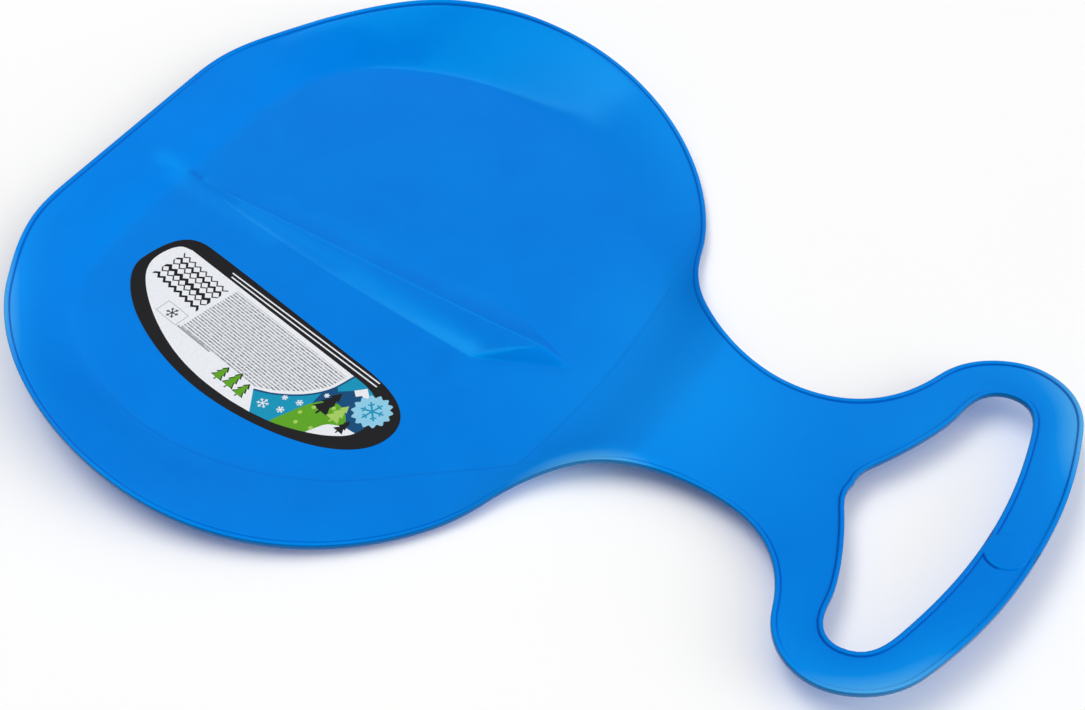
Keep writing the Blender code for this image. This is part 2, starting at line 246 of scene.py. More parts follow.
# Plastic: its own two blues, its gloss, and the painted light and painted shade that the masks lay
# over it
BLUE_DEEP = (0.0, 0.185, 0.72, 1.0)
BLUE_LIGHT = (0.0, 0.205, 0.76, 1.0)
BLUE_GLOSS = (0.0, 0.75, 1.0, 1.0)
BLUE_EDGE_SHADE = (0.0, 0.09, 0.3, 1.0)
BLUE_PAINTED_SHADE = (0.0, 0.06, 0.42, 1.0)
BLUE_PAINTED_LIGHT_SOFT = (0.002, 0.26, 0.83, 1.0)
BLUE_PAINTED_LIGHT = (0.09, 0.43, 0.84, 1.0)
PLASTIC_IOR = 1.3
PLASTIC_SPECULAR = 0.85
PLASTIC_ROUGHNESS = (0.15, 0.22)

# Painted light and painted shade: a tone's mask, the mask's value where it starts and where it is
# full, its share, its colour
TONES = [
    ("pale", 0, 0.5, 1, BLUE_PAINTED_LIGHT_SOFT),
    ("pale", 0.45, 1, 1, BLUE_PAINTED_LIGHT),
    ("foot", 0, 1, 0.85, BLUE_PAINTED_SHADE),
    ("rim", 0, 1, 0.8, BLUE_EDGE_SHADE),
]

# Part of a noise pattern's values that is used: the usual one, for rub marks and for ink grain
NOISE_RANGE = (0.3, 0.7)
RUB_RANGE = (0.35, 0.75)
GRAIN_RANGE = (0.35, 0.65)

# Noise patterns of the plastic: scale, detail and roughness. Bumps: strength and depth in metres
PLASTIC_CLOUD = (26, 3, 0.6)
PLASTIC_RUB = (30, 4, 0.6)
PLASTIC_WAVES = (45, 2)
PLASTIC_WAVE_BUMP = (0.25, 0.0004)
PLASTIC_GRAIN = (1400, 2)
PLASTIC_GRAIN_BUMP = (0.06, 0.00005)

# Label on the near half of the floor
LABEL_LOW = 0.02
LABEL_TOP = 0.17
LABEL_STEP = 1.4
LABEL_REAR_X = -75.0
LABEL_LENGTH = 147.5
LABEL_INNER_Y = -32.0
LABEL_WIDTH = 66.0

# Its ink colours with their roughness; the first is the film's own
INKS = {
    "black": ((0.006, 0.006, 0.008), 0.42),
    "white": ((0.85, 0.87, 0.91), 0.4),
    "rules": ((0.85, 0.87, 0.91), 0.4),
    "grey": ((0.36, 0.36, 0.38), 0.42),
    "teal": ((0.0, 0.30, 0.50), 0.38),
    "deep": ((0.0, 0.07, 0.2), 0.38),
    "green": ((0.11, 0.38, 0.012), 0.38),
    "lime": ((0.38, 0.62, 0.12), 0.38),
    "sky": ((0.28, 0.62, 0.82), 0.38),
}
INK_DARKEST = 0.88
INK_GRAIN = (2600, 2)
FILM_SPECULAR = 0.2
FILM_ROUGHNESS_SPREAD = 0.04
FILM_WAVES = (700, 2)
FILM_WAVE_BUMP = (0.05, 0.00005)

# The thin grey rules of the print: pitch, colour, wear, and the soft edge of a line
PRINT_HEADING = -10.5
RULE_PITCH = 1.32
RULE_GREY = (0.1, 0.1, 0.12, 1.0)
RULE_EDGE = (0.22, 0.3)
RULE_WEAR = (900, 3, 0.7)
RULE_WEAR_RANGE = (0.38, 0.6)
RULE_FAINTEST = 0.3
RULES_FIELD = [(-28.5, -45.4), (39.2, -57.9), (36.6, -66), (29.5, -73.6), (19.6, -79.6),
               (11, -82.6), (-35, -74), (-32, -60)]

# White and teal fields of the print, and the hollow curve between them
WHITE_EDGE = [(-60, -37.5), (-65.5, -38.4), (-69, -43), (-70.6, -51), (-67.5, -59),
              (-58.5, -68.2), (-44.5, -78), (-28.3, -86), (-12, -91), (5, -93.6), (18, -94.2)]
WHITE_END = [(14.8, -89), (11.8, -84.1)]
TEAL_EDGE = [(11.8, -84.1), (20.5, -81.2), (30.5, -75.2), (37.8, -67), (41.8, -56)]
TEAL_FRONT = [(41.8, -56), (49, -57.5), (55.5, -60.5), (60.6, -66.5), (61.6, -74), (59, -81),
              (52.5, -86), (43, -90), (30.5, -93.2), (18, -94.2)]
TEAL_EDGE_LINE = 0.9

# Block of zigzag rows: its middle, its half length, and the rows' heights and weights
ZIGZAG_CENTRE = (-48.6, -52.3)
ZIGZAG_TURN = PRINT_HEADING - 2.5
ZIGZAG_HALF_LENGTH = 15.5
ZIGZAG_CORNERS = 17
ZIGZAG_DEPTH = 1.7
ZIGZAG_ROWS = [(-7.2, 1.5), (-3.9, 0.8), (-1.2, 1.9), (2.1, 0.8), (4.7, 1.4), (7.6, 0.8)]

# Two white lines along the label's straight side: the first one's points and the step to the next
BORDER_LINE = [(-37, -38.3), (8, -45.8), (52.5, -53.3)]
BORDER_LINE_STEP = 2.05
BORDER_LINE_WIDTH = 0.62

# Snowflake in a thin frame; a flake has its radius, its line's width and its turn
FRAME_CENTRE = (-43.2, -70.2)
FRAME_CORNERS = [(-5.6, -3.6), (5.6, -3.6), (6.4, -2.8), (6.4, 2.8), (5.6, 3.6), (-5.6, 3.6),
                 (-6.4, 2.8), (-6.4, -2.8)]
FRAME_INNER_SHARE = (0.955, 0.93)
FRAME_FLAKE = (2.9, 0.5, 5)

# Two grey bars: start, end and depth of each, from one place; each lies two depths below it
BAR_PLACE = (-6, -78.5)
GREY_BARS = [(-31, -10, 0.8), (-29, -14, 0.6)]

# Row of fir trees on the white: the row's place, and each tree's distance along it and height
FIR_ROW_PLACE = (0.2, -89.2)
FIR_ROW = [(-5.5, 7.2), (1, 9), (7.5, 7.2)]
FIR_WIDTH = 5.0
FIR_EDGE_WIDTH = 6.6
FIR_EDGE_RISE = 1.3
FIR_EDGE_DROP = 0.4
FIR_SIDE = [(0.12, 0), (0.12, 0.14), (1, 0.14), (0.42, 0.42), (0.8, 0.42), (0.3, 0.7),
            (0.58, 0.7), (0, 1)]

# Landscape on the teal field: hills with their ink, whether they are rounded, and their corners
HILLS = [
    ("deep", False, [(36, -60), (41, -66), (45, -63), (50, -58.5), (55, -63), (60, -70),
                     (66, -84), (36, -84)]),
    ("white", False, [(46.2, -62), (50, -58.2), (54.2, -62.2), (52.3, -64), (50.6, -62.4),
                      (48.6, -64.2)]),
    ("green", True, [(28, -98), (32, -84), (37, -75.5), (43, -71.5), (49, -72.5), (54, -78),
                     (58, -86), (50, -98)]),
    ("white", True, [(42, -98), (46, -84.5), (51, -80.5), (57, -79.5), (66, -82), (66, -98)]),
]

# Its trees, dots and snowflakes
HILL_FIRS = [
    ("black", (40.5, -80), 14.5, 8.6),
    ("lime", (47.5, -80.5), 11, 7),
    ("black", (53.2, -83.6), 8, 5.2),
]
HILL_DOTS = [(35, -83), (36.6, -88), (43.6, -87.2), (38, -78), (45, -74)]
HILL_DOT_RADIUS = 0.95
HILL_DOT_SIDES = 12
HILL_FLAKES = [(19.6, -87.6, 2.6), (27.6, -86.4, 1.7), (25.2, -80.4, 1.3), (31.8, -79.3, 1.6),
               (38.6, -70.2, 1.2)]
HILL_FLAKE_LINE = 0.42

# Scalloped round badge with a snowflake
BADGE_CENTRE = (58.8, -66.8)
BADGE_RADIUS = 7.9
BADGE_SCALLOPS = 14
BADGE_SCALLOP_DEPTH = 0.7
BADGE_SIDES = 112
BADGE_FLAKE = (5.0, 0.8, 12)

# Snowflake: place and length of its barbs as shares of its radius, their width, and their turn
BARB_PLACE = 0.62
BARB_LENGTH = 0.3
BARB_WIDTH_SHARE = 0.8
SIXTH_TURN = 60

# Ground
GROUND_DARK = (0.965, 0.965, 0.962, 1.0)
GROUND_LIGHT = (0.98, 0.98, 0.977, 1.0)
GROUND_CLOUD = (3, 2)
GROUND_ROUGHNESS = 0.95
GROUND_SPECULAR = 0.1
GROUND_REACH = 6.0
GROUND_DROP = 0.0002

# Camera: place in metres, angles in degrees, lens and sensor in millimetres
CAMERA_PLACE = (0.30945, -0.45657, 0.61405)
CAMERA_ELEVATION = 48.283
CAMERA_TURN = 33.870
CAMERA_LENS = 66.36
CAMERA_SENSOR = 36
CAMERA_CLIP_START = 0.01

# Sky: light at the horizon and overhead, how steeply it rises, and the pale backdrop's strength
SKY_LOW = 0.05
SKY_HIGH = 0.86
SKY_POWER = 1.8
BACKGROUND = 0.93

# Its brighter side beyond the handle: direction, tilt of the whole sky, and a narrow glow
SIDE_HEADING = 15
SIDE_ELEVATION = 18
SKY_TILT = 0.6
SIDE_POWER = 12
SIDE_LEVEL = 3.6

# Wide soft lamp at the back: direction in degrees, and distance and size in metres
KEY_HEADING = 200
KEY_ELEVATION = 69
KEY_DISTANCE = 10.0
KEY_LENGTH = 8.0
KEY_WIDTH = 4.2
KEY_LEVEL = 3.4


def heading_vector(degrees):
    """Unit vector in plan for a heading."""
    return np.array((math.cos(math.radians(degrees)), math.sin(math.radians(degrees))))


def curve_through(keys, step):
    """Points along a smooth curve.

    A key is x, y, its heading in degrees, and its handles in and out as shares of the chord.
    """
    points = []
    for start, end in zip(keys[:-1], keys[1:]):
        first = np.array(start[:2])
        last = np.array(end[:2])
        chord = np.linalg.norm(last - first)
        leave = first + heading_vector(start[2]) * chord * start[4]
        arrive = last - heading_vector(end[2]) * chord * end[3]
        count = max(3, round(chord / step) + 1)
        span = interpolate_bezier(*(Vector(p) for p in (first, leave, arrive, last)), count)
        points.extend(span if not points else span[1:])
    return np.array([point[:2] for point in points])


def outline_keys():
    """Half of the outer outline, from the middle of the rear edge to the end of the handle."""
    lobe_rear = (HANDLE_END_X - LOBE_REAR_SETBACK, HANDLE_HALF_WIDTH - LOBE_REAR_INSET)
    lobe_front = (HANDLE_END_X - LOBE_FRONT_SETBACK, HANDLE_HALF_WIDTH - LOBE_FRONT_INSET)
    return [
        (REAR_EDGE_X, 0, 90, 0, 0.34),
        (REAR_EDGE_X, REAR_STRAIGHT_HALF, 90, 0.34, 0.32),
        (REAR_CORNER_X, REAR_CORNER_HALF, 53, 0.54, 0.12),
        (SEAT_WIDEST_X, SEAT_HALF_WIDTH, 0, 0.49, 0.43),
        (SEAT_FRONT_X, SEAT_FRONT_HALF, -71, 0.255, 0.41),
        (NECK_X, NECK_HALF_WIDTH, 0, 0.34, 0.5),
        (*lobe_rear, 71, 0.3, 0.45),
        (HANDLE_END_X - LOBE_SETBACK, HANDLE_HALF_WIDTH, 0, 0.29, 0.18),
        (*lobe_front, -71, 0.52, 0.33),
        (HANDLE_END_X, 0, -90, 0.385, 0),
    ]


def hole_keys():
    """Half of the hole, a bent heart, from its point at the neck to the middle of the bar.

    Its keys lie at shares of the hole's length and half width.
    """
    return [
        (HOLE_REAR_X, 0, 90, 0, 0.16),
        (HOLE_REAR_X + HOLE_LENGTH * 0.046, HOLE_HALF_WIDTH * 0.173, 60, 0.65, 0.225),
        (HOLE_REAR_X + HOLE_LENGTH * 0.343, HOLE_HALF_WIDTH * 0.77, 85, 0.29, 0.68),
        (HOLE_REAR_X + HOLE_LENGTH * 0.583, HOLE_HALF_WIDTH, 0, 0.19, 0.435),
        (HOLE_REAR_X + HOLE_LENGTH * 0.87, HOLE_HALF_WIDTH * 0.755, -76, 0.435, 0.19),
        (BAR_X, 0, -90, 0.453, 0),
    ]


def floor_keys():
    """Half of the crease round the flat floor, from the rear to the corner at the neck."""
    side_x, side_y = heading_vector(FLOOR_SIDE_ANGLE) * FLOOR_RADIUS
    front_x, front_y = heading_vector(FLOOR_FRONT_ANGLE) * FLOOR_RADIUS
    return [
        (REAR_CREASE_X, 0, 90, 0, 0.43),
        (REAR_CREASE_X, REAR_STRAIGHT_HALF, 90, 0.34, 0.37),
        (side_x, side_y, FLOOR_SIDE_ANGLE - 90, 0.306, 0.346),
        (0, FLOOR_RADIUS, 0, 0.346, 0.346),
        (front_x, front_y, FLOOR_FRONT_ANGLE - 90, 0.346, 0.33),
        (NECK_CREASE_END_X, NECK_CREASE_HALF, -46, 0.33, 0),
    ]


def neck_crease_keys():
    """Half of the crease where the neck begins."""
    return [
        (NECK_CREASE_END_X, NECK_CREASE_HALF, -82, 0, 0.265),
        (NECK_CREASE_X, 0, -90, 0.32, 0),
    ]


def ridge_keys():
    """Half of the base of the central ridge, from its rear tip to its front tip."""
    return [
        (RIDGE_REAR_X, 0, 14, 0, 0.3),
        (RIDGE_WIDEST_X, RIDGE_HALF_WIDTH, 4, 0.3, 0.05),
        (RIDGE_TIP_X, 0, -32, 0.31, 0),
    ]


def profile(stations, x):
    """Height at each x on a smooth curve through stations of x and height."""
    places, heights = np.array(stations).T
    steps = np.diff(heights) / np.diff(places)
    product = steps[:-1] * steps[1:]
    steady = product > 0
    slopes = np.zeros(len(places))
    slopes[1:-1][steady] = 2 * product[steady] / (steps[:-1] + steps[1:])[steady]
    x = np.clip(x, places[0], places[-1])
    i = np.clip(np.searchsorted(places, x, side="right") - 1, 0, len(places) - 2)
    run = places[i + 1] - places[i]
    t = (x - places[i]) / run
    return (heights[i] * (1 + 2 * t) * (1 - t) ** 2 + heights[i + 1] * t * t * (3 - 2 * t)
            + run * slopes[i] * t * (1 - t) ** 2 - run * slopes[i + 1] * t * t * (1 - t))


def smooth_step(value):
    """Smooth rise from 0 to 1 as the value goes from 0 to 1."""
    value = np.clip(value, 0, 1)
    return value * value * (3 - 2 * value)


def smaller(first, second, blend):
    """The smaller of two values, with a rounded change from one to the other."""
    share = np.clip(0.5 + (second - first) / (2 * blend), 0, 1)
    return second * (1 - share) + first * share - blend * share * (1 - share)


def distance_to(line, points):
    """Shortest distance of each point to an open line."""
    best = np.full(len(points), np.inf)
    for start, side in zip(line[:-1], np.diff(line, axis=0)):
        share = np.clip((points - start) @ side / (side @ side), 0, 1)
        gap = points - start - share[:, None] * side
        best = np.minimum(best, np.hypot(gap[:, 0], gap[:, 1]))
    return best


def within(points, polygon):
    """True for each point that lies inside a closed polygon."""
    x, y = points.T
    found = np.zeros(len(points), bool)
    for start, end in zip(polygon, np.roll(polygon, -1, axis=0)):
        if start[1] == end[1]:
            continue
        crosses = (start[1] > y) != (end[1] > y)
        crossing_x = start[0] + (y - start[1]) * (end[0] - start[0]) / (end[1] - start[1])
        found ^= crosses & (x < crossing_x)
    return found


def shifted(line, distance):
    """A line moved sideways: to its left where distance is positive."""
    along = np.gradient(line, axis=0)
    along[0] = (0, np.sign(along[0][1]))
    along[-1] = (0, np.sign(along[-1][1]))
    along /= np.linalg.norm(along, axis=1)[:, None]
    return line + np.column_stack((-along[:, 1], along[:, 0])) * distance


def arc_drop(distance, radius):
    """How far a rounded edge lies below its face, at a distance in from the edge."""
    short = np.clip(radius - distance, 0, radius)
    return radius - np.sqrt(radius ** 2 - short ** 2)


def faded(fade, in_x, in_y):
    """How much of the groove and its painted shade line goes, at distances along X and Y into the
    place where they fade.
    """
    share, reach_x, reach_y = fade
    return share * (smooth_step(in_x / reach_x) * smooth_step(in_y / reach_y))


def line_tone(line, points, width):
    """A value of 1 on a line that falls off beside it."""
    return np.exp(-(distance_to(line, points) / width) ** 2)


def with_streaks(mask, streaks, points):
    """A mask with streaks laid over it."""
    for start, end, width, strength in streaks:
        line = np.array((start, end), float)
        mask = np.maximum(mask, strength * line_tone(line, points, width))
    return mask


def painted_light_rims(points, to_outline):
    """A mask of painted light on the rims, standing in for light through the plastic, and on broad
    patches of the neck and handle.
    """
    pale = np.zeros(len(points))
    for x, y, radius, depth, strength in PAINTED_LIGHT_SPOTS:
        off_spot = (points[:, 0] - x) ** 2 + (points[:, 1] - y) ** 2
        near = np.exp(-off_spot / radius ** 2)
        fall = np.exp(-(to_outline / depth) ** PAINTED_LIGHT_FALL)
        pale = np.maximum(pale, strength * near * fall)
    return pale


class SliderShape:
    """The lines of one half in plan, and the form of the sheet over them."""

    def __init__(self):
        self.outline = curve_through(outline_keys(), LINE_STEP)
        self.hole = curve_through(hole_keys(), LINE_STEP)
        self.floor = curve_through(floor_keys(), LINE_STEP)
        self.neck_crease = curve_through(neck_crease_keys(), LINE_STEP)
        self.ridge = curve_through(ridge_keys(), LINE_STEP)
        self.floor_edge = np.vstack((self.floor, self.neck_crease[1:]))
        self.floor_area = np.vstack((self.floor_edge, (REAR_CREASE_X, 0)))
        self.area = np.vstack((self.outline, self.hole[::-1]))

    def ridge_height(self, x, y):
        """Height of the ridge: a full near flank, a hollow far one, and a wall at the front."""
        aside = y - RIDGE_Y
        near = aside < 0
        off_crest = np.abs(aside) / np.where(near, 1, RIDGE_FAR_SHARE)
        half = np.interp(x, self.ridge[:, 0], self.ridge[:, 1], 0, 0)
        past_widest = np.maximum(x - RIDGE_WIDEST_X, 0)
        growth = past_widest * RIDGE_HALF_WIDTH / (RIDGE_WIDEST_X - RIDGE_REAR_X)
        wide = np.where(x > RIDGE_WIDEST_X, RIDGE_HALF_WIDTH + growth, half)
        share = np.clip(1 - off_crest / np.maximum(wide, LEAST_WIDTH), 0, 1)
        full = share * (1 + RIDGE_SWELL - RIDGE_SWELL * share)
        flank = np.where(near, full, share ** RIDGE_HOLLOW)
        to_base = distance_to(self.ridge, np.column_stack((x, off_crest)))
        wall = np.where(off_crest < half, FRONT_WALL_SLOPE * to_base, 0)
        bead = CREST_BEAD_HEIGHT * np.exp(-(aside / CREST_BEAD_WIDTH) ** 2)
        skirt = SKIRT_HEIGHT * np.exp(-(np.maximum(off_crest - half, 0) / SKIRT_WIDTH) ** 2)
        skirt *= smooth_step(-aside / SKIRT_FADE)
        along = smooth_step((x - REAR_CREASE_X) / SKIRT_REACH)
        along *= smooth_step((RIDGE_TIP_X - x) / SKIRT_REACH)
        return np.minimum(profile(RIDGE_CREST, x) * flank, wall) + (skirt + bead) * along

    def base_height(self, placed, to_outline):
        """Height of the sheet without its lip, pad and ridge, over one half of the plan."""
        x = placed[:, 0]
        to_floor = distance_to(self.floor_edge, placed)
        past_floor = np.where(within(placed, self.floor_area), -to_floor, to_floor)
        soft = smooth_step((x - SOFT_FROM_X) / SOFT_REACH)
        soft *= smooth_step((SOFT_TO_X - x) / SOFT_END_REACH)
        fillet = CREASE_FILLET + (SOFT_FILLET - CREASE_FILLET) * soft
        rounding = np.maximum(past_floor + fillet, 0) ** 2 / (4 * fillet)
        filleted = np.where(past_floor > fillet, past_floor, rounding)
        flange = to_floor + to_outline
        ramp = smaller(flange, RAMP_LENGTH, RAMP_BLEND)
        beyond_ramp = smooth_step((flange - RAMP_LENGTH) / RAMP_LENGTH)
        easing = SHARP_EASING + WIDE_EASING * beyond_ramp
        rise = smaller(filleted / np.maximum(ramp, LEAST_RAMP), 1.0, easing)
        return profile(RIM_HEIGHTS, x) * rise

    def form(self, points):
        """Upper and lower face over the floor's upper face, and the masks of painted light and
        painted shade over it.
        """
        x, y = points.T
        placed = np.column_stack((x, np.maximum(np.abs(y), TINY)))
        to_outline = distance_to(self.outline, placed)
        to_hole = distance_to(self.hole, placed)
        to_edge = np.minimum(to_outline, to_hole)
        base = self.base_height(placed, to_outline) + self.ridge_height(x, y)

        past_lip = to_edge - LIP_WIDTH
        past_pad = np.hypot(x - PAD_X, y - PAD_Y) - PAD_RADIUS + LIP_SLOPE
        past_raised = np.minimum(past_lip, past_pad)
        raised = LIP_HEIGHT * smooth_step(1 - past_raised / LIP_SLOPE)

        # The groove at the lip's foot, which also carries a painted shade line in the plastic's
        # colour
        foot = np.exp(-((past_raised - LIP_SLOPE) / GROOVE_WIDTH) ** 2)
        pad_side = smooth_step(PAD_SHADE - (y - PAD_Y) / PAD_RADIUS)
        foot *= np.where(past_pad < past_lip, pad_side, 1)
        outer_fade = faded(BAR_FADE, x - FAINT_LIP_X, BAR_FADE[2] - y)
        outer_fade = outer_fade + faded(FAR_RIM_FADE, FAINT_LIP_X - x, y)
        inner_fade = faded(FAR_GRIP_FADE, BAR_X - FAR_GRIP_SETBACK - x, y)
        foot *= 1 - np.where(to_outline < to_hole, outer_fade, inner_fade)

        upper = base + raised - GROOVE_DEPTH * foot - arc_drop(to_edge, TOP_ROUNDING)
        lower = base - WALL + arc_drop(to_edge, LOW_ROUNDING)

        # Painted shade along the floor's crease, on the near side only, and along the neck's
        # crease
        near_side = smooth_step(-y / CREASE_FADE) * smooth_step((x - CREASE_FROM_X) / CREASE_FADE)
        floor_crease_shade = line_tone(self.floor, placed, CREASE_SHADE_WIDTH) * FLOOR_CREASE_SHADE * near_side
        neck_crease_shade = line_tone(self.neck_crease, placed, CREASE_SHADE_WIDTH) * NECK_CREASE_SHADE
        dark = np.maximum(foot, np.maximum(floor_crease_shade, neck_crease_shade))
        # Masks of painted shade on the outermost edge, painted shade in the groove, the creases
        # and the ridge's streaks, and painted light on the rims and along the ridge
        masks = {
            "rim": 1 - smooth_step(to_edge / RIM_SHADE_WIDTH),
            "foot": with_streaks(dark, PAINTED_SHADE_STREAKS, points),
            "pale": with_streaks(painted_light_rims(points, to_outline), PAINTED_HIGHLIGHT_STREAKS, points),
        }
        return upper, lower, masks


def circle(centre, radius, count):
    """Points round a circle."""
    angles = np.radians(np.linspace(0, 360, count + 1))[:-1]
    return np.array(centre) + radius * np.column_stack((np.cos(angles), np.sin(angles)))


def half_lines(shape):
    """Lines of the half plan that are edges of the mesh: its border, its steps and its creases."""
    lines = []
    for distance in EDGE_OFFSETS:
        lines.append(shifted(shape.outline, -distance))
        lines.append(shifted(shape.hole, distance))
    for distance in CREASE_OFFSETS:
        lines.append(shifted(shape.floor_edge, distance))
    return [line[line[:, 1] >= 0] for line in lines]


def ridge_lines(shape):
    """Lines along the crest and both sides of the ridge."""
    lines = []
    for distance in RIDGE_OFFSETS:
        line = shifted(shape.ridge, distance)
        lines.append(line[line[:, 1] > RIDGE_LINE_FROM])
    crest_x = np.arange(RIDGE_REAR_X, RIDGE_TIP_X, CREST_STEP)
    for distance in CREST_OFFSETS:
        lines.append(np.array([(x, distance) for x in crest_x]))
    return [line * (1, side) + (0, RIDGE_Y) for line in lines for side in (RIDGE_FAR_SHARE, -1)]


def lattice(shape, lines):
    """Loose points over the whole half plan, clear of its lines."""
    rows = np.arange(REAR_EDGE_X, HANDLE_END_X, LATTICE_STEP * LATTICE_ROW_SHARE)
    columns = np.arange(0, SEAT_HALF_WIDTH, LATTICE_STEP)
    x, y = np.meshgrid(rows, columns, indexing="ij")
    y[1::2] += LATTICE_STEP / 2
    points = np.column_stack((x.ravel(), y.ravel()))
    points = points[within(points + (0, TINY), shape.area)]
    return clear_of(lines, points)


def clear_of(lines, points):
    """The points that keep clear of the lines."""
    clear = np.ones(len(points), bool)
    for line in lines:
        clear &= distance_to(line, points) > LATTICE_GAP
    return points[clear]


def other_half(points):
    """Points mirrored across the axis."""
    return points * (1, -1)


def triangulate(lines, loose, closed):
    """Triangles that keep to the lines and take in the loose points: points and faces."""
    points = []
    edges = []
    places = {}
    for line in lines:
        indices = []
        for x, y in line:
            key = (round(float(x), POINT_DIGITS), round(float(y), POINT_DIGITS))
            indices.append(places.setdefault(key, len(places)))
            if len(places) > len(points):
                points.append(Vector(key))
        ends = indices[1:] + indices[:1] if closed else indices[1:]
        edges.extend((a, b) for a, b in zip(indices, ends) if a != b)
    points.extend(Vector(point) for point in loose)
    flat, _, faces = delaunay_2d_cdt(points, edges, [], 0, MERGE_DISTANCE)[:3]
    return np.array([point[:] for point in flat]), np.array(faces)


def without_loose(points, faces):
    """Only the points that a face uses."""
    used, order = np.unique(faces, return_inverse=True)
    return points[used], order.reshape(faces.shape)


def whole_plan(shape):
    """The whole plan as triangles."""
    half = half_lines(shape)
    ridge = ridge_lines(shape)
    lines = half + [other_half(line) for line in half] + ridge
    for distance in PAD_RINGS:
        ring = circle((PAD_X, PAD_Y), PAD_RADIUS + distance, PAD_SIDES)
        lines.append(ring[distance_to(shape.hole, np.abs(ring)) > LIP_WIDTH - LIP_SLOPE])
    loose = lattice(shape, half)
    loose = np.vstack((loose, other_half(loose)))
    from_pad = np.hypot(loose[:, 0] - PAD_X, loose[:, 1] - PAD_Y)
    loose = clear_of(ridge, loose[from_pad > PAD_RADIUS + PAD_CLEARANCE])
    points, faces = triangulate(lines, loose, closed=False)
    centres = points[faces].mean(axis=1)
    centres[:, 1] = np.abs(centres[:, 1])
    return without_loose(points, faces[within(centres, shape.area)])


def make_sheet(name, points, faces, upper, lower, smooth):
    """A closed thin solid between two faces over one plan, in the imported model's frame.

    The upper face's points and triangles come first in the mesh.
    """
    count = len(points)
    place = (points[:, 0] + PLAN_SHIFT, points[:, 1])
    vertices = np.vstack((np.column_stack((*place, upper + FLOOR_TOP)),
                          np.column_stack((*place, lower + FLOOR_TOP)))) * MM
    sides = np.vstack((faces[:, (0, 1)], faces[:, (1, 2)], faces[:, (2, 0)])).tolist()
    known = {(a, b) for a, b in sides}
    border = [(a, b) for a, b in sides if (b, a) not in known]
    polygons = faces.tolist() + (faces[:, ::-1] + count).tolist()
    polygons += [(a, a + count, b + count, b) for a, b in border]
    mesh = bpy.data.meshes.new(name)
    mesh.from_pydata(vertices.tolist(), [], polygons)
    if smooth:
        mesh.shade_smooth()
    else:
        mesh.shade_flat()
    mesh.update()
    piece = bpy.data.objects.new(name, mesh)
    bpy.context.scene.collection.objects.link(piece)
    return piece


def add_mask(mesh, name, upper, lower):
    """A value for each point of a sheet, which its material reads."""
    mask = mesh.attributes.new(name, "FLOAT", "POINT")
    mask.data.foreach_set("value", np.concatenate((upper, lower)).astype(np.float32))


def make_body():
    """The moulding: its upper face with ridge, creases, lips and pad, and its plain underside."""
    shape = SliderShape()
    points, faces = whole_plan(shape)
    upper, lower, masks = shape.form(points)
    body = make_sheet("slider_body_visual", points, faces, upper, lower, smooth=True)
    # The side wall gets the painted shade of the outermost edge; the underside gets no painted
    # shade in the groove, and the same painted light as the upper face
    add_mask(body.data, "rim", masks["rim"], np.where(masks["rim"] > RIM_FULL, 1, 0))
    add_mask(body.data, "foot", masks["foot"], masks["foot"] * 0)
    add_mask(body.data, "pale", masks["pale"], masks["pale"])
    body.data.materials.append(blue_plastic())
    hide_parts("slider_body")
    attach(body, "root")


def label_keys():
    """Outline of the label, a bean that follows the seat's round edge.

    Its keys lie at shares of the label's length and width.
    """
    rear_x = LABEL_REAR_X
    inner_y = LABEL_INNER_Y
    outer_y = LABEL_INNER_Y - LABEL_WIDTH
    keys = [
        (rear_x + LABEL_LENGTH * 0.142, inner_y, -9, 0.34, 0.207),
        (rear_x + LABEL_LENGTH * 0.786, inner_y - LABEL_WIDTH * 0.265, -10, 0.207, 0.525),
        (rear_x + LABEL_LENGTH, inner_y - LABEL_WIDTH * 0.59, -90, 0.29, 0.29),
        (rear_x + LABEL_LENGTH * 0.644, outer_y, -178, 0.51, 0.4),
        (rear_x + LABEL_LENGTH * 0.149, outer_y + LABEL_WIDTH * 0.27, 150, 0.29, 0.285),
        (rear_x, inner_y - LABEL_WIDTH * 0.31, 81, 0.31, 0.68),
    ]
    return keys + keys[:1]


def rounded(corners, closed=True, count=6):
    """Points on a smooth curve through the corners."""
    corners = np.array(corners, float)
    if closed:
        padded = np.vstack((corners[-1:], corners, corners[:2]))
    else:
        before = 2 * corners[0] - corners[1]
        after = 2 * corners[-1] - corners[-2]
        padded = np.vstack((before, corners, after))
    points = []
    for a, b, c, d in zip(padded[:-3], padded[1:-2], padded[2:-1], padded[3:]):
        for t in np.arange(count) / count:
            points.append(0.5 * (2 * b + (c - a) * t + (2 * a - 5 * b + 4 * c - d) * t * t
                                 + (3 * b - a - 3 * c + d) * t ** 3))
    return np.array(points if closed else points + [corners[-1]])


def stroke(line, width):
    """The outline of a line drawn with a width."""
    line = np.array(line, float)
    along = np.gradient(line, axis=0)
    along /= np.linalg.norm(along, axis=1)[:, None]
    side = np.column_stack((-along[:, 1], along[:, 0])) * width / 2
    return np.vstack((line + side, (line - side)[::-1]))


def laid(points, centre, turn):
    """Points turned by an angle in degrees and moved to a centre."""
    across = heading_vector(turn)
    up = heading_vector(turn + 90)
    points = np.array(points, float)
    return np.array(centre) + points[:, :1] * across + points[:, 1:] * up


def snowflake(ink, centre, radius, width, turn):
    """Regions of a plain six-armed snowflake."""
    regions = []
    half = width / 2
    bar = [(-radius, -half), (radius, -half), (radius, half), (-radius, half)]
    for arm in range(3):
        regions.append((ink, laid(bar, centre, turn + arm * SIXTH_TURN)))
    for arm in range(6):
        heading = turn + arm * SIXTH_TURN
        start = np.array(centre) + heading_vector(heading) * (radius * BARB_PLACE)
        for side in (-SIXTH_TURN, SIXTH_TURN):
            end = start + heading_vector(heading + side) * (radius * BARB_LENGTH)
            barb = [start, (start + end) / 2, end]
            regions.append((ink, stroke(barb, width * BARB_WIDTH_SHARE)))
    return regions


